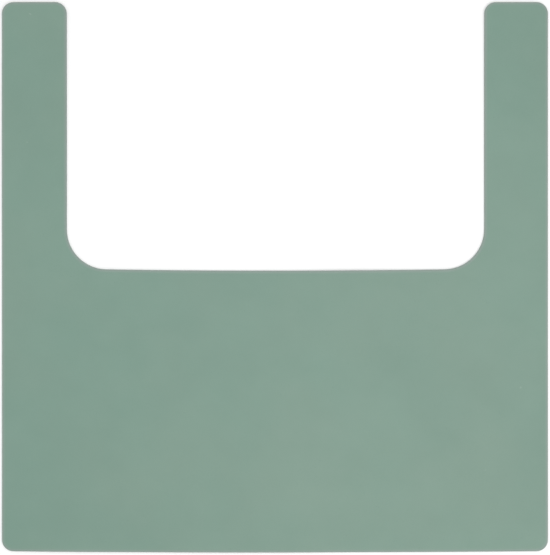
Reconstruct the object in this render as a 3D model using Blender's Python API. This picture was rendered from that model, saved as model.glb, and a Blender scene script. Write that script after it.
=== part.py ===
"""Silicone bib mat: one moulded sheet that lies flat, with a body cut-out between two arms."""

import math

import bpy

# Driving dimensions, in metres. +Z is up, +X is to the right and +Y runs towards the arm tips.
WIDTH = 0.420
ARM_SIDE_LENGTH = 0.4225
THICKNESS = 0.0020
CUTOUT_WIDTH = 0.3208
CUTOUT_DEPTH = 0.2056
OUTER_CORNER_RADIUS = 0.0083
CUTOUT_CORNER_RADIUS = 0.0310
FRONT_EDGE_BOW = 0.0008
CUTOUT_EDGE_BOW = 0.0010
EDGE_ROUNDING = 0.0006

# How finely round stretches are drawn.
CORNER_STEPS = 10
BOW_STEPS = 16
EDGE_ROUNDING_STEPS = 2

# The origin is the middle of the sheet's box, at its underside.
FRONT_Y = -(ARM_SIDE_LENGTH - FRONT_EDGE_BOW) / 2
ARM_TIP_Y = FRONT_Y + ARM_SIDE_LENGTH
CUTOUT_FRONT_Y = ARM_TIP_Y - CUTOUT_DEPTH

SAGE_GREEN = (0.238, 0.352, 0.292, 1.0)
SILICONE_ROUGHNESS = 0.62


def clear_scene():
    for obj in list(bpy.data.objects):
        bpy.data.objects.remove(obj)


def collection_named(name):
    collection = bpy.data.collections.new(name)
    bpy.context.scene.collection.children.link(collection)
    return collection


def plain_material(name, colour, roughness):
    material = bpy.data.materials.new(name)
    material.use_nodes = True
    shader = material.node_tree.nodes["Principled BSDF"]
    shader.inputs["Base Color"].default_value = colour
    shader.inputs["Roughness"].default_value = roughness
    shader.inputs["Metallic"].default_value = 0.0
    return material


def unit(start, end):
    length = math.dist(start, end)
    return ((end[0] - start[0]) / length, (end[1] - start[1]) / length)


def corner_arc(before, corner, after, radius):
    """The arc that rounds a square corner, from the edge that comes in to the edge that goes out."""
    back = unit(corner, before)
    on = unit(corner, after)
    centre = (corner[0] + radius * (back[0] + on[0]), corner[1] + radius * (back[1] + on[1]))
    points = []
    for step in range(CORNER_STEPS + 1):
        turn = step / CORNER_STEPS * math.pi / 2
        x = centre[0] - radius * (on[0] * math.cos(turn) + back[0] * math.sin(turn))
        y = centre[1] - radius * (on[1] * math.cos(turn) + back[1] * math.sin(turn))
        points.append((x, y))
    return points


def bowed_run(start, end, bow):
    """The inner points of an edge across the sheet, which sags towards the front by bow at its middle."""
    points = []
    for step in range(1, BOW_STEPS):
        along = step / BOW_STEPS
        x = start[0] + along * (end[0] - start[0])
        y = start[1] + along * (end[1] - start[1]) - bow * 4 * along * (1 - along)
        points.append((x, y))
    return points


def sheet_outline():
    """The closed outline, counter-clockwise from the front left corner."""
    half = WIDTH / 2
    inner = CUTOUT_WIDTH / 2
    corners = [
        (-half, FRONT_Y, OUTER_CORNER_RADIUS, FRONT_EDGE_BOW),
        (half, FRONT_Y, OUTER_CORNER_RADIUS, 0),
        (half, ARM_TIP_Y, OUTER_CORNER_RADIUS, 0),
        (inner, ARM_TIP_Y, OUTER_CORNER_RADIUS, 0),
        (inner, CUTOUT_FRONT_Y, CUTOUT_CORNER_RADIUS, CUTOUT_EDGE_BOW),
        (-inner, CUTOUT_FRONT_Y, CUTOUT_CORNER_RADIUS, 0),
        (-inner, ARM_TIP_Y, OUTER_CORNER_RADIUS, 0),
        (-half, ARM_TIP_Y, OUTER_CORNER_RADIUS, 0),
    ]
    arcs = []
    for index, (x, y, radius, _) in enumerate(corners):
        before = corners[index - 1][:2]
        after = corners[(index + 1) % len(corners)][:2]
        arcs.append(corner_arc(before, (x, y), after, radius))
    outline = []
    for index, arc in enumerate(arcs):
        bow = corners[index][3]
        outline.extend(arc)
        if bow:
            next_arc = arcs[(index + 1) % len(arcs)]
            outline.extend(bowed_run(arc[-1], next_arc[0], bow))
    return outline


def make_silicone_sheet(collection):
    """The whole bib mat: a flat outline given its thickness, with its edges rounded as the mould leaves them."""
    outline = sheet_outline()
    curve = bpy.data.curves.new("silicone_sheet", "CURVE")
    curve.dimensions = "2D"
    curve.fill_mode = "BOTH"
    curve.extrude = THICKNESS / 2 - EDGE_ROUNDING
    curve.bevel_depth = EDGE_ROUNDING
    curve.bevel_resolution = EDGE_ROUNDING_STEPS
    curve.offset = -EDGE_ROUNDING
    spline = curve.splines.new("POLY")
    spline.points.add(len(outline) - 1)
    for point, (x, y) in zip(spline.points, outline):
        point.co = (x, y, 0, 1)
    spline.use_cyclic_u = True
    sheet = bpy.data.objects.new("silicone_sheet", curve)
    sheet.location = (0, 0, THICKNESS / 2)
    collection.objects.link(sheet)
    weld = sheet.modifiers.new("close_caps", "WELD")
    weld.merge_threshold = 0.00001
    curve.materials.append(plain_material("sage_green_silicone", SAGE_GREEN, SILICONE_ROUGHNESS))
    return sheet


clear_scene()
make_silicone_sheet(collection_named("silicone_bib_mat"))
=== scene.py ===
"""Looks of the silicone bib mat: the moulded sheet, its silicone, and the studio around it."""

import math

import bpy
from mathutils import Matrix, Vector


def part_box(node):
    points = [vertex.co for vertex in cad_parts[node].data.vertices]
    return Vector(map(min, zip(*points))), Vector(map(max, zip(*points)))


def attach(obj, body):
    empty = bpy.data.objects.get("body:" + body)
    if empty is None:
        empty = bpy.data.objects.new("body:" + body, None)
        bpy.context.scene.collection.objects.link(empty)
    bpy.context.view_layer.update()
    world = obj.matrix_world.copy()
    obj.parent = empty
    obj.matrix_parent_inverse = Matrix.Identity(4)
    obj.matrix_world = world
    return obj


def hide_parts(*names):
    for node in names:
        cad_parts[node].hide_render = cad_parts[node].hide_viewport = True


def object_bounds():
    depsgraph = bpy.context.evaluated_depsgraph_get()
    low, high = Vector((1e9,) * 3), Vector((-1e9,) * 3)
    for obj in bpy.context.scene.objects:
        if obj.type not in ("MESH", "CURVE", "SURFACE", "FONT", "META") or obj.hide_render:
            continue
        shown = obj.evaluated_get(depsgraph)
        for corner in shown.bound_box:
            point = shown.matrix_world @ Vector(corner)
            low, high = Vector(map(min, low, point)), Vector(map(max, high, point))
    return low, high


MM = 0.001

# The sheet's plan, where it isn't read from the frame.
CUTOUT_WIDTH = 321.1 * MM
CUTOUT_DEPTH = 205.6 * MM
OUTER_CORNER_RADIUS = 8.9 * MM
CUTOUT_CORNER_RADIUS = 31.0 * MM
CUTOUT_SHIFT = 0.4 * MM
FRONT_EDGE_BOW = 0.8 * MM
CUTOUT_EDGE_BOW = 1.0 * MM

# The moulded rim, all round the sheet. The flash line's level is measured from mid thickness. A squareness
# of 1 makes the rim half an ellipse, and less makes it squarer.
EDGE_ROUNDING = 0.6 * MM
FLASH_HEIGHT = 0.11 * MM
FLASH_WIDTH = 0.09 * MM
FLASH_LEVEL = -0.40 * MM
RIM_SQUARENESS = 0.72
RIM_STEPS = 28

# How finely the sheet is meshed, how much closer its grid lines stand at the corners, and how far the
# cut-out's corners spread their pull into it.
FACE_SIZE = 2.0 * MM
CORNER_CROWDING = 0.45
CORNER_REACH = 44.0 * MM
WELD_DISTANCE = 0.01 * MM

# How the soft sheet departs from its mould as it lies: its outline wanders, it lifts where a random field
# passes LIFT_START, the tips of its arms curl up, and a hair of air is left below it.
OUTLINE_WANDER = 0.06 * MM
OUTLINE_WANDER_LENGTH = 140 * MM
OUTLINE_SEED = 3.0
LIFT_HEIGHT = 1.4 * MM
LIFT_LENGTH = 130 * MM
LIFT_SEED = 10.0
LIFT_START = 0.4
LIFT_FULL = 0.8
CURL_HEIGHT = 0.6 * MM
CURL_LENGTH = 45 * MM
FLOOR_GAP = 0.05 * MM

# Soft ripples left from being rolled up: each one's middle x and y, its direction in degrees, its half
# length, its half width and its height.
RIPPLES = (
    (184 * MM, 124 * MM, 12, 22 * MM, 6 * MM, 0.22 * MM),
    (176 * MM, -22 * MM, 92, 46 * MM, 7 * MM, 0.20 * MM),
    (56 * MM, -24 * MM, 48, 17 * MM, 6 * MM, 0.20 * MM),
    (80 * MM, -46 * MM, 4, 34 * MM, 8 * MM, 0.16 * MM),
    (-176 * MM, -42 * MM, 28, 14 * MM, 9 * MM, -0.16 * MM),
    (200 * MM, -132 * MM, 80, 22 * MM, 11 * MM, -0.20 * MM),
)

# A random field runs from 0 to 1 about a middle of 0.5, and seldom strays further than a quarter from it.
FIELD_MIDDLE = 0.5
FIELD_SWING = 0.25

# The silicone's random fields: each one's length, its seed, and how many finer layers it holds.
# Painted light: the next two fields' clouding is partly the silicone's random tone and partly painted shade
# and painted sheen, darker and lighter where the sheet shades and shines.
TONE_AND_SHADE_CLOUDS = (120 * MM, 181.0, 3.0)
TONE_AND_SHADE_PATCHES = (45 * MM, 84.0, 3.0)
MOTTLE = (22 * MM, 5.0, 5.0)
# Painted light: the warmth's tint is partly random and partly painted sheen, warmer where the sheet shines.
WARMTH = (120 * MM, 335.0, 4.0)
SPECKS = (0.9 * MM, 16.0, 3.0)
GRAIN = (0.5 * MM, 24.0, 3.0)
SWELL = (6 * MM, 25.0, 2.0)
WIPE_MARKS = (9 * MM, 12.0, 4.0)
GLOSS_PATCHES = (45 * MM, 13.0, 2.0)
FIBRE_BENDS = (7 * MM, 20.0, 2.0)

# How strongly they show in the silicone's tone, and between which values of a field its effect runs.
TONE_AND_SHADE_CLOUD_SHARE = 0.67
MOTTLE_STRENGTH = 0.4
# Painted shade: the grain paints its hollows darker and its rises lighter.
GRAIN_SHADE_STRENGTH = 0.4
TONE_RANGE = (0.22, 0.78)
WARMTH_RANGE = (0.2, 0.8)
SPECK_RANGE = (0.62, 0.76)
SPECK_STRENGTH = 0.35

# The silicone's relief, the band along the rim that is painted paler as a painted glow of light through the
# thin edge, and its roughness.
RELIEF_HEIGHT = 0.05 * MM
SWELL_STRENGTH = 0.9
UNDERSIDE_GRAIN_LOSS = 0.7
# Painted light: along this band the rim is painted paler, standing in for light glowing through the thin
# edge.
RIM_BAND = 2.4 * MM
PAINTED_RIM_GLOW_STRENGTH = 0.7
SATIN_ROUGHNESS = 0.50
WIPE_STRENGTH = 0.10
WIPE_STRETCH = 0.25
WIPE_SLANT = (0.10, 0.15)
GLOSS_PATCH_STRENGTH = 0.10
RIM_SMOOTHNESS = 0.05
UNDERSIDE_SMOOTHNESS = 0.12
LINT_ROUGHNESS = 0.3

# Lint: short fibres, in layers that each have a direction in degrees and a slice of the cell pattern, and
# pale dust. A spot is a share of cells left empty, then its core's and its rim's share of the cell spacing.
FIBRE_LAYERS = ((23, 30), (109, 31), (160, 32))
FIBRE_SPACING = 2.4 * MM
FIBRE_STRETCH = 5
FIBRE_BEND = (3 * MM, -2 * MM)
FIBRE_SPOT = (0.996, 0.04, 0.10)
DUST_SPACING = 9 * MM
DUST_SPOT = (0.985, 0.03, 0.14)
DUST_STRENGTH = 0.3
LINT_STRENGTH = 0.35

# The silicone's colours: its body in two tones, partly its own random tone and partly painted shade and
# painted sheen, the tints that they drift between, partly random and partly painted sheen, pigment specks,
# the paler painted glow along the rim, and lint.
SAGE_SHADE = (0.1685, 0.2725, 0.2185, 1.0)
SAGE_LIGHT = (0.1855, 0.2925, 0.2355, 1.0)
COOL_TINT = (0.957, 1.003, 1.003, 1.0)
WARM_TINT = (1.043, 0.997, 0.997, 1.0)
SAGE_SPECK = (0.120, 0.215, 0.168, 1.0)
# Painted light: the rim's paler colour stands in for light glowing through the thin edge.
SAGE_PAINTED_RIM_GLOW = (0.240, 0.290, 0.266, 1.0)
LINT = (0.62, 0.64, 0.62, 1.0)

# The studio. A soft light is its place, its target, its size and its power in watts. The view is a little
# taller than the sheet is long.
FLOOR_HALF_SIZE = 4.0
FLOOR_WHITE = (0.95, 0.95, 0.95, 1.0)
FLOOR_ROUGHNESS = 0.9
WORLD_WHITE = (1.0, 1.0, 1.0, 1.0)
WORLD_STRENGTH = 0.62
OVERHEAD_SOFTBOX = ((0.0, 0.0, 1.7), (0.0, 0.0, 0.0), 1.5, 13.0)
FRONT_RIGHT_SOFTBOX = ((0.6, -0.5, 1.3), (0.1, -0.1, 0.0), 0.8, 4.2)
LENS = 100.0
VIEW_OVER_LENGTH = 1.0089
CAMERA_Y = -0.2 * MM


class Value:
    """A socket that Python arithmetic works on: each operator adds one Math node to its tree."""

    def __init__(self, tree, socket):
        self.tree = tree
        self.socket = socket

    def __add__(self, other):
        return self.tree.maths("ADD", self, other)

    def __radd__(self, other):
        return self.tree.maths("ADD", other, self)

    def __sub__(self, other):
        return self.tree.maths("SUBTRACT", self, other)

    def __rsub__(self, other):
        return self.tree.maths("SUBTRACT", other, self)

    def __mul__(self, other):
        return self.tree.maths("MULTIPLY", self, other)

    def __rmul__(self, other):
        return self.tree.maths("MULTIPLY", other, self)

    def __truediv__(self, other):
        return self.tree.maths("DIVIDE", self, other)

    def __rtruediv__(self, other):
        return self.tree.maths("DIVIDE", other, self)

    def __pow__(self, other):
        return self.tree.maths("POWER", self, other)

    def __neg__(self):
        return self.tree.maths("MULTIPLY", self, -1.0)

    def __abs__(self):
        return self.tree.maths("ABSOLUTE", self)

    def __gt__(self, other):
        return self.tree.maths("GREATER_THAN", self, other)

    def __lt__(self, other):
        return self.tree.maths("LESS_THAN", self, other)


class Tree:
    """A node tree built by calls: add makes any node, and the rest are short names for common ones."""

    def __init__(self, tree):
        self.tree = tree

    def add(self, kind, settings=None, inputs=None, output=0):
        """Adds a node, applies its settings, fills its inputs by name or number, and returns one output.

        An input takes a Value, a plain value, or a list of Values. An output of None returns the node."""
        node = self.tree.nodes.new(kind)
        for name, value in (settings or {}).items():
            setattr(node, name, value)
        for key, value in (inputs or {}).items():
            for one in value if isinstance(value, list) else [value]:
                if isinstance(one, Value):
                    self.tree.links.new(one.socket, node.inputs[key])
                else:
                    node.inputs[key].default_value = one
        if output is None:
            return node
        return Value(self, node.outputs[output])

    def maths(self, operation, *values):
        return self.add("ShaderNodeMath", {"operation": operation}, dict(enumerate(values)))

    def most(self, a, b):
        return self.maths("MAXIMUM", a, b)

    def bell(self, value):
        """1 where value is 0, and falling smoothly to nothing on both sides."""
        return self.maths("EXPONENT", -(value * value))

    def fade(self, value, start, end, low=1.0, high=0.0):
        """low where value is at or below start, high at or past end, and a smooth step between."""
        settings = {"interpolation_type": "SMOOTHSTEP"}
        inputs = {"Value": value, "From Min": start, "From Max": end, "To Min": low, "To Max": high}
        return self.add("ShaderNodeMapRange", settings, inputs)

    def blend(self, share, first, second):
        """A colour from first, where share is 0, to second, where it is 1."""
        return self.add("ShaderNodeMix", {"data_type": "RGBA"}, {0: share, 6: first, 7: second}, 2)

    def tinted(self, colour, tint):
        settings = {"data_type": "RGBA", "blend_type": "MULTIPLY"}
        return self.add("ShaderNodeMix", settings, {0: 1.0, 6: colour, 7: tint}, 2)

    def noise(self, vector, length, seed, detail, output="Fac"):
        """A smooth random field of about the given length, from 0 to 1."""
        settings = {"noise_dimensions": "4D"}
        inputs = {"Vector": vector, "W": seed, "Scale": 1 / length, "Detail": detail, "Roughness": 0.5}
        return self.add("ShaderNodeTexNoise", settings, inputs, output)

    def attribute(self, name):
        """A number stored on the mesh."""
        return self.add("ShaderNodeAttribute", {"attribute_name": name}, None, "Fac")

    def parts(self, vector):
        """The x, y and z of a vector."""
        node = self.add("ShaderNodeSeparateXYZ", None, {0: vector}, None)
        return [Value(self, socket) for socket in node.outputs]

    def vector(self, x, y, z):
        return self.add("ShaderNodeCombineXYZ", None, {0: x, 1: y, 2: z})


# The moulded sheet.


class SheetPlan:
    """The tree that makes the moulded sheet from its sizes, as a closed mesh that lies on the floor."""

    SOCKETS = {float: "NodeSocketFloat", int: "NodeSocketInt", bpy.types.Material: "NodeSocketMaterial"}

    def __init__(self, sizes):
        self.t = Tree(bpy.data.node_groups.new("moulded_sheet", "GeometryNodeTree"))
        interface = self.t.tree.interface
        for name, value in sizes.items():
            interface.new_socket(name, in_out="INPUT", socket_type=self.SOCKETS[type(value)])
        interface.new_socket("Sheet", in_out="OUTPUT", socket_type="NodeSocketGeometry")
        self.given = self.t.add("NodeGroupInput", output=None)
        self.place_edges()
        flat = self.crowd_corners(self.patches())
        flat = self.round_corners(flat)
        flat = self.bow_edges(flat)
        flat = self.let_outline_wander(flat)
        flat = self.mark_edge_distance(flat)
        sheet = self.give_thickness(flat)
        sheet = self.mark_underside(sheet)
        sheet = self.lay_down(sheet)
        sheet = self.t.add("GeometryNodeSetShadeSmooth", None, {"Geometry": sheet})
        sheet = self.t.add("GeometryNodeRealizeInstances", None, {"Geometry": sheet})
        finish = {"Geometry": sheet, "Material": self.size("Silicone")}
        sheet = self.t.add("GeometryNodeSetMaterial", None, finish)
        self.t.add("NodeGroupOutput", None, {"Sheet": sheet}, None)

    def size(self, name):
        return Value(self.t, self.given.outputs[name])

    def position(self):
        return self.t.add("GeometryNodeInputPosition")

    def here(self):
        return self.t.parts(self.position())

    def move(self, mesh, offset):
        return self.t.add("GeometryNodeSetPosition", None, {"Geometry": mesh, "Offset": offset})

    def weld(self, mesh):
        inputs = {"Geometry": mesh, "Distance": WELD_DISTANCE}
        return self.t.add("GeometryNodeMergeByDistance", None, inputs)

    def store(self, sheet, name, value):
        settings = {"data_type": "FLOAT", "domain": "POINT"}
        inputs = {"Geometry": sheet, "Name": name, "Value": value}
        return self.t.add("GeometryNodeStoreNamedAttribute", settings, inputs)

    def place_edges(self):
        """Where the faces end, inside the rim: the outline moved in by the edge rounding."""
        rounding = self.size("Edge Rounding")
        self.side_x = self.size("Width") / 2 - rounding
        self.arm_x = self.size("Cut-out Width") / 2 + rounding
        self.tip_y = self.size("Length") / 2 - rounding
        self.front_y = (self.size("Front Edge Bow") + rounding) - self.size("Length") / 2
        self.cutout_y = self.tip_y - self.size("Cut-out Depth")

    def patch(self, left, right, front, back):
        """A flat grid between two x and two y places."""
        wide = right - left
        deep = back - front
        inputs = {
            "Size X": wide,
            "Size Y": deep,
            "Vertices X": self.t.maths("ROUND", wide / self.size("Face Size")) + 1,
            "Vertices Y": self.t.maths("ROUND", deep / self.size("Face Size")) + 1,
        }
        grid = self.t.add("GeometryNodeMeshGrid", None, inputs)
        middle = self.t.vector((left + right) / 2, (front + back) / 2, 0.0)
        return self.t.add("GeometryNodeTransform", None, {"Geometry": grid, "Translation": middle})

    def patches(self):
        """The U in five grids whose edges meet: two arms, and the panel below each arm and the cut-out."""
        left_side = -self.side_x
        left_arm = -self.arm_x
        grids = [
            self.patch(left_side, left_arm, self.cutout_y, self.tip_y),
            self.patch(self.arm_x, self.side_x, self.cutout_y, self.tip_y),
            self.patch(left_side, left_arm, self.front_y, self.cutout_y),
            self.patch(left_arm, self.arm_x, self.front_y, self.cutout_y),
            self.patch(self.arm_x, self.side_x, self.front_y, self.cutout_y),
        ]
        joined = self.t.add("GeometryNodeJoinGeometry", None, {"Geometry": grids})
        return self.weld(joined)

    def crowd(self, value, start, end):
        """How far a grid line between start and end moves towards the nearer of the two."""
        length = end - start
        inside = (value > start) * (value < end)
        swing = self.t.maths("SINE", (value - start) / length * math.tau)
        return swing * inside * length * (-CORNER_CROWDING / math.tau)

    def crowd_corners(self, flat):
        """Draws the grid lines closer together at the ends of each stretch, where the arcs need them."""
        x, y, _ = self.here()
        left = self.crowd(x, -self.side_x, -self.arm_x)
        middle = self.crowd(x, -self.arm_x, self.arm_x)
        right = self.crowd(x, self.arm_x, self.side_x)
        panel = self.crowd(y, self.front_y, self.cutout_y)
        arms = self.crowd(y, self.cutout_y, self.tip_y)
        return self.move(flat, self.t.vector(left + middle + right, panel + arms, 0.0))

    def corner_pull(self, across, y, centre, outward, reach=None):
        """How far a corner's arc pulls a point in, as x and y: a square about its centre becomes a disc."""
        past_x = self.t.most((across - centre[0]) * outward[0], 0.0)
        past_y = self.t.most((y - centre[1]) * outward[1], 0.0)
        side = self.t.most(past_x, past_y)
        pull = side / self.t.maths("SQRT", past_x * past_x + past_y * past_y) - 1
        if reach:
            pull = pull * self.t.fade(side, *reach)
        return past_x * pull * outward[0], past_y * pull * outward[1]

    def round_corners(self, flat):
        """Rounds each arm's outer corners at its two ends, the arm tips' inner ones and the cut-out's."""
        x, y, _ = self.here()
        across = abs(x)
        side = self.t.maths("SIGN", x)
        rounding = self.size("Edge Rounding")
        radius = self.size("Outer Corner Radius") - rounding
        outer_x = self.side_x - radius
        inner_x = self.arm_x + radius
        arc_tip_y = self.tip_y - radius
        arc_front_y = self.front_y + radius
        notch_radius = self.size("Cut-out Corner Radius")
        notch_x = self.size("Cut-out Width") / 2 - notch_radius
        notch_y = self.cutout_y + rounding + notch_radius
        notch_edge = notch_radius + rounding
        notch_reach = (notch_edge, notch_edge + self.size("Corner Reach"))
        pulls = [
            self.corner_pull(across, y, (outer_x, arc_front_y), (1, -1)),
            self.corner_pull(across, y, (outer_x, arc_tip_y), (1, 1)),
            self.corner_pull(across, y, (inner_x, arc_tip_y), (-1, 1)),
            self.corner_pull(across, y, (notch_x, notch_y), (1, -1), notch_reach),
        ]
        pull_x = sum(pull[0] for pull in pulls)
        pull_y = sum(pull[1] for pull in pulls)
        return self.move(flat, self.t.vector(pull_x * side, pull_y, 0.0))

    def bow_edges(self, flat):
        """Bends the front edge and the cut-out's edge a little forward, and moves the cut-out sideways."""
        x, y, _ = self.here()
        forward = self.t.fade(y, self.front_y, self.cutout_y)
        backward = 1 - forward
        half_front = self.size("Width") / 2 - self.size("Outer Corner Radius")
        half_cutout = self.size("Cut-out Width") / 2 - self.size("Cut-out Corner Radius")
        front = self.t.most(1 - (x / half_front) ** 2, 0.0) * self.size("Front Edge Bow") * forward
        cutout = self.t.most(1 - (x / half_cutout) ** 2, 0.0) * self.size("Cut-out Edge Bow") * backward
        sideways = self.t.fade(abs(x), self.arm_x, self.side_x) * backward * self.size("Cut-out Shift")
        return self.move(flat, self.t.vector(sideways, -(front + cutout), 0.0))

    def let_outline_wander(self, flat):
        """Moves the sheet a little in its own plane, as soft rubber settles after it is laid out."""
        seed = self.size("Outline Seed")
        x, y, _ = self.t.parts(self.t.noise(self.position(), OUTLINE_WANDER_LENGTH, seed, 1.0, "Color"))
        wander = self.size("Outline Wander") / FIELD_SWING
        return self.move(flat, self.t.vector((x - FIELD_MIDDLE) * wander, (y - FIELD_MIDDLE) * wander, 0.0))

    def border(self, flat):
        """The closed curve along the flat sheet's open edges."""
        faces = self.t.add("GeometryNodeInputMeshEdgeNeighbors")
        settings = {"data_type": "INT", "operation": "EQUAL"}
        open_edge = self.t.add("FunctionNodeCompare", settings, {2: faces, 3: 1})
        curve = self.t.add("GeometryNodeMeshToCurve", None, {"Mesh": flat, "Selection": open_edge})
        return self.t.add("GeometryNodeSetCurveNormal", {"mode": "Z_UP"}, {"Curve": curve})

    def mark_edge_distance(self, flat):
        """Stores how far each point is from the border, which the silicone reads to finish its edges."""
        line = self.t.add("GeometryNodeCurveToMesh", None, {"Curve": self.border(flat)})
        settings = {"target_element": "EDGES"}
        distance = self.t.add("GeometryNodeProximity", settings, {"Geometry": line}, "Distance")
        return self.store(flat, "edge_distance", distance)

    def rim_profile(self):
        """The rim's section, from the top face round to the underside, with the mould's fine flash line.

        The sweep along the border turns the section's y axis down, so heights are negated."""
        steps = self.size("Rim Steps")
        half = self.size("Thickness") / 2
        line = self.t.add("GeometryNodeMeshLine", {"mode": "OFFSET"}, {"Count": steps + 1})
        turn = (0.5 - self.t.add("GeometryNodeInputIndex") / steps) * math.pi
        rise = self.t.maths("SINE", turn)
        out = self.t.most(self.t.maths("COSINE", turn), 0.0)
        height = self.t.maths("SIGN", rise) * abs(rise) ** RIM_SQUARENESS * half
        level = (height - self.size("Flash Level")) / self.size("Flash Width")
        flash = self.t.bell(level) * self.size("Flash Height")
        rounding = self.size("Edge Rounding") - self.size("Flash Height")
        reach = out**RIM_SQUARENESS * rounding + flash
        inputs = {"Geometry": line, "Position": self.t.vector(reach, -height, 0.0)}
        placed = self.t.add("GeometryNodeSetPosition", None, inputs)
        return self.t.add("GeometryNodeMeshToCurve", None, {"Mesh": placed})

    def give_thickness(self, flat):
        """Top face, underside and the rim swept along the border between them."""
        half = self.size("Thickness") / 2
        top = self.move(flat, self.t.vector(0.0, 0.0, half))
        under = self.move(flat, self.t.vector(0.0, 0.0, -half))
        under = self.t.add("GeometryNodeFlipFaces", None, {"Mesh": under})
        sweep = {"Curve": self.border(flat), "Profile Curve": self.rim_profile()}
        rim = self.t.add("GeometryNodeCurveToMesh", None, sweep)
        joined = self.t.add("GeometryNodeJoinGeometry", None, {"Geometry": [top, under, rim]})
        return self.weld(joined)

    def mark_underside(self, sheet):
        """Stores 1 on the underside, 0 on the top and what lies between along the rim."""
        _, _, z = self.here()
        return self.store(sheet, "underside", 0.5 - z / self.size("Thickness"))

    def ripples(self, x, y):
        """How far the ripples lift each point, or lower it where their height is below 0."""
        lift = 0.0
        for middle_x, middle_y, degrees, half_length, half_width, height in RIPPLES:
            along_x = math.cos(math.radians(degrees))
            along_y = math.sin(math.radians(degrees))
            along = ((x - middle_x) * along_x + (y - middle_y) * along_y) / half_length
            across = ((y - middle_y) * along_x - (x - middle_x) * along_y) / half_width
            lift = lift + self.t.bell(along) * self.t.bell(across) * height
        return lift

    def lay_down(self, sheet):
        """Lays the sheet on the floor, in low waves and ripples, with the tips of the arms curled up."""
        x, y, _ = self.here()
        field = self.t.noise(self.position(), LIFT_LENGTH, self.size("Lift Seed"), 0.5)
        waves = self.t.fade(field, LIFT_START, LIFT_FULL, 0.0, 1.0) * self.size("Lift Height")
        past_curl = self.t.most((y - self.tip_y) / self.size("Curl Length") + 1, 0.0)
        curl = past_curl**2 * self.size("Curl Height")
        lift = self.t.most(waves + self.ripples(x, y), 0.0) + curl
        up = self.size("Thickness") / 2 + FLOOR_GAP
        return self.move(sheet, self.t.vector(0.0, 0.0, lift + up))


def plain_mesh(source, name):
    """The evaluated source as a plain mesh object of its own, without the empty first material slot."""
    graph = bpy.context.evaluated_depsgraph_get()
    mesh = bpy.data.meshes.new_from_object(source.evaluated_get(graph))
    mesh.name = name
    mesh.materials.pop(index=0)
    made = bpy.data.objects.new(name, mesh)
    bpy.context.scene.collection.objects.link(made)
    bpy.data.objects.remove(source)
    return made


def make_sheet(silicone):
    """The moulded sheet, sized from the frame."""
    low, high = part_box("silicone_sheet")
    sizes = {
        "Width": high.x - low.x,
        "Length": high.y - low.y,
        "Thickness": high.z - low.z,
        "Cut-out Width": CUTOUT_WIDTH,
        "Cut-out Depth": CUTOUT_DEPTH,
        "Cut-out Shift": CUTOUT_SHIFT,
        "Outer Corner Radius": OUTER_CORNER_RADIUS,
        "Cut-out Corner Radius": CUTOUT_CORNER_RADIUS,
        "Corner Reach": CORNER_REACH,
        "Front Edge Bow": FRONT_EDGE_BOW,
        "Cut-out Edge Bow": CUTOUT_EDGE_BOW,
        "Edge Rounding": EDGE_ROUNDING,
        "Flash Height": FLASH_HEIGHT,
        "Flash Width": FLASH_WIDTH,
        "Flash Level": FLASH_LEVEL,
        "Rim Steps": RIM_STEPS,
        "Face Size": FACE_SIZE,
        "Outline Wander": OUTLINE_WANDER,
        "Outline Seed": OUTLINE_SEED,
        "Lift Height": LIFT_HEIGHT,
        "Lift Seed": LIFT_SEED,
        "Curl Height": CURL_HEIGHT,
        "Curl Length": CURL_LENGTH,
        "Silicone": silicone,
    }
    plan = SheetPlan(sizes).t.tree
    host = bpy.data.objects.new("sheet_plan", bpy.data.meshes.new("sheet_plan"))
    bpy.context.scene.collection.objects.link(host)
    modifier = host.modifiers.new("moulded_sheet", "NODES")
    modifier.node_group = plan
    for item in plan.interface.items_tree:
        if item.in_out == "INPUT":
            modifier[item.identifier] = sizes[item.name]
    return plain_mesh(host, "bib_sheet")


# The silicone.


def make_silicone():
    """Satin moulded silicone: faintly clouded sage, the clouding partly painted shade and painted sheen, a
    painted paler glow along the rim, a blasted-mould grain, wiping marks and lint.
    """
    material = bpy.data.materials.new("sage_silicone")
    material.use_nodes = True
    material.node_tree.nodes.clear()
    t = Tree(material.node_tree)
    place = t.add("ShaderNodeTexCoord", output="Object")
    underside = t.attribute("underside")
    rim = t.fade(t.attribute("edge_distance"), 0.0, RIM_BAND)
    lint = silicone_lint(t, place)
    grain = t.noise(place, *GRAIN) * (1 - underside * UNDERSIDE_GRAIN_LOSS)
    finish = {
        "Base Color": silicone_colour(t, place, grain, rim, lint),
        "Roughness": silicone_roughness(t, place, rim, underside, lint),
        "Normal": silicone_relief(t, place, grain),
        "IOR": 1.43,
        "Subsurface Weight": 0.15,
        "Subsurface Radius": (1.0, 1.0, 1.0),
        "Subsurface Scale": 0.8 * MM,
        "Sheen Weight": 0.05,
        "Sheen Roughness": 0.5,
    }
    shader = t.add("ShaderNodeBsdfPrincipled", None, finish)
    t.add("ShaderNodeOutputMaterial", None, {"Surface": shader}, None)
    return material


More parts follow.
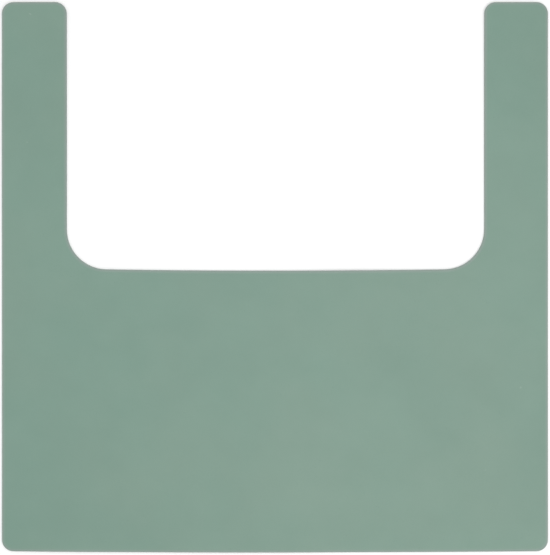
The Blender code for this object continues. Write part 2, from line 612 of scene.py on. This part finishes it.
def silicone_colour(t, place, grain, rim, lint):
    """Two sage tones in soft clouding that is partly random tone and partly painted shade and painted
    sheen, a tint that is partly painted sheen, the grain's hollows painted darker as painted shade, pigment
    specks, a paler painted glow along the rim, and the lint on top.
    """
    # Painted shade and painted sheen: the clouding is partly random tone and partly darker and lighter
    # where the sheet shades and shines.
    tone_and_shade_clouds = t.noise(place, *TONE_AND_SHADE_CLOUDS) * TONE_AND_SHADE_CLOUD_SHARE + t.noise(place, *TONE_AND_SHADE_PATCHES) * (1 - TONE_AND_SHADE_CLOUD_SHARE)
    mottle = (t.noise(place, *MOTTLE) - FIELD_MIDDLE) * MOTTLE_STRENGTH
    # Painted shade: the grain's hollows darker and its rises lighter.
    fine = (grain - FIELD_MIDDLE) * GRAIN_SHADE_STRENGTH
    tone = t.fade(tone_and_shade_clouds + (mottle + fine), *TONE_RANGE, 0.0, 1.0)
    # Painted sheen: the tint is partly random and partly warmer where the sheet shines.
    warmth = t.fade(t.noise(place, *WARMTH), *WARMTH_RANGE, 0.0, 1.0)
    body = t.blend(tone, SAGE_SHADE, SAGE_LIGHT)
    body = t.tinted(body, t.blend(warmth, COOL_TINT, WARM_TINT))
    specks = t.fade(t.noise(place, *SPECKS), *SPECK_RANGE, 0.0, SPECK_STRENGTH)
    body = t.blend(specks, body, SAGE_SPECK)
    # Painted light: the rim band is painted paler, standing in for light glowing through the thin edge.
    body = t.blend(rim * PAINTED_RIM_GLOW_STRENGTH, body, SAGE_PAINTED_RIM_GLOW)
    return t.blend(lint, body, LINT)


def silicone_lint(t, place):
    """Dust on the soft, slightly tacky skin: a few short fibres and some pale spots, from 0 to 1."""
    drift = t.noise(place, *FIBRE_BENDS) - FIELD_MIDDLE
    x, y, z = t.parts(place)
    bent = t.vector(x + drift * FIBRE_BEND[0], y + drift * FIBRE_BEND[1], z)
    fibres = 0.0
    for degrees, layer in FIBRE_LAYERS:
        inputs = {"Vector": bent, "Angle": math.radians(degrees)}
        turned = t.add("ShaderNodeVectorRotate", {"rotation_type": "Z_AXIS"}, inputs)
        along, across, _ = t.parts(turned)
        cells = t.vector(along / FIBRE_STRETCH, across, layer * FIBRE_SPACING)
        fibres = spots(t, cells, FIBRE_SPACING, *FIBRE_SPOT) + fibres
    dust = spots(t, place, DUST_SPACING, *DUST_SPOT) * DUST_STRENGTH
    return t.maths("MINIMUM", fibres + dust, 1.0) * LINT_STRENGTH


def spots(t, place, spacing, empty, core, rim):
    """Soft round spots in the few cells of a random pattern that aren't left empty."""
    inputs = {"Vector": place, "Scale": 1 / spacing}
    cell = t.add("ShaderNodeTexVoronoi", {"feature": "F1"}, inputs, None)
    chosen = t.parts(Value(t, cell.outputs["Color"]))[0] > empty
    return chosen * t.fade(Value(t, cell.outputs["Distance"]), core, rim)


def silicone_roughness(t, place, rim, underside, lint):
    """Satin on top with faint wiping marks, smoother on the underside and along the rim."""
    x, y, z = t.parts(place)
    wiped = t.vector(x * WIPE_STRETCH + y * WIPE_SLANT[0], y + x * WIPE_SLANT[1], z)
    marks = (t.noise(wiped, *WIPE_MARKS) - FIELD_MIDDLE) * WIPE_STRENGTH
    patches = (t.noise(place, *GLOSS_PATCHES) - FIELD_MIDDLE) * GLOSS_PATCH_STRENGTH
    smoother = rim * RIM_SMOOTHNESS + underside * UNDERSIDE_SMOOTHNESS
    return SATIN_ROUGHNESS + marks + patches - smoother + lint * LINT_ROUGHNESS


def silicone_relief(t, place, grain):
    """The blasted mould's fine grain over a soft unevenness."""
    height = grain + t.noise(place, *SWELL) * SWELL_STRENGTH
    inputs = {"Strength": 1.0, "Distance": RELIEF_HEIGHT, "Height": height}
    return t.add("ShaderNodeBump", None, inputs)


# The studio.


def make_floor():
    """A plain white table top."""
    low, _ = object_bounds()
    mesh = bpy.data.meshes.new("floor")
    size = FLOOR_HALF_SIZE
    corners = [(-size, -size, low.z), (size, -size, low.z), (size, size, low.z), (-size, size, low.z)]
    mesh.from_pydata(corners, [], [(0, 1, 2, 3)])
    floor = bpy.data.objects.new("floor", mesh)
    bpy.context.scene.collection.objects.link(floor)
    material = bpy.data.materials.new("floor_paint")
    material.use_nodes = True
    shader = material.node_tree.nodes["Principled BSDF"]
    shader.inputs["Base Color"].default_value = FLOOR_WHITE
    shader.inputs["Roughness"].default_value = FLOOR_ROUGHNESS
    shader.inputs["Specular IOR Level"].default_value = 0.0
    mesh.materials.append(material)


def soft_box(name, place, target, size, power):
    """A square soft light that points at target, and that no camera sees."""
    data = bpy.data.lights.new(name, "AREA")
    data.size = size
    data.energy = power
    light = bpy.data.objects.new(name, data)
    light.location = place
    light.rotation_euler = (Vector(target) - Vector(place)).to_track_quat("-Z", "Y").to_euler()
    light.visible_camera = False
    bpy.context.scene.collection.objects.link(light)


def make_light():
    """A pale world, a large soft light overhead and a smaller one at the front right."""
    world = bpy.data.worlds.new("studio")
    world.use_nodes = True
    background = world.node_tree.nodes["Background"]
    background.inputs["Color"].default_value = WORLD_WHITE
    background.inputs["Strength"].default_value = WORLD_STRENGTH
    bpy.context.scene.world = world
    soft_box("overhead_softbox", *OVERHEAD_SOFTBOX)
    soft_box("front_right_softbox", *FRONT_RIGHT_SOFTBOX)
    bpy.context.scene.view_settings.view_transform = "Standard"


def make_camera():
    """Straight above the sheet, on a long lens, with the sheet filling the view."""
    low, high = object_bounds()
    data = bpy.data.cameras.new("camera")
    data.lens = LENS
    camera = bpy.data.objects.new("camera", data)
    field = VIEW_OVER_LENGTH * (high.y - low.y)
    distance = field * data.lens / data.sensor_width
    camera.location = (0.0, CAMERA_Y, (low.z + high.z) / 2 + distance)
    bpy.context.scene.collection.objects.link(camera)
    bpy.context.scene.camera = camera


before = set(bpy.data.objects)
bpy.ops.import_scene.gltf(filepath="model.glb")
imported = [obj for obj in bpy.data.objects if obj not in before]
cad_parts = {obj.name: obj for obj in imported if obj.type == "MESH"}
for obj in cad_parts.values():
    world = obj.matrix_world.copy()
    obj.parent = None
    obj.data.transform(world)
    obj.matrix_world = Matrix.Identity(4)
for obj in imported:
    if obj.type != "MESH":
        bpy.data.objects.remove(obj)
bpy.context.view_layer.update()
make_camera()
sheet = make_sheet(make_silicone())
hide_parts("silicone_sheet")
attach(sheet, "root")
make_floor()
make_light()
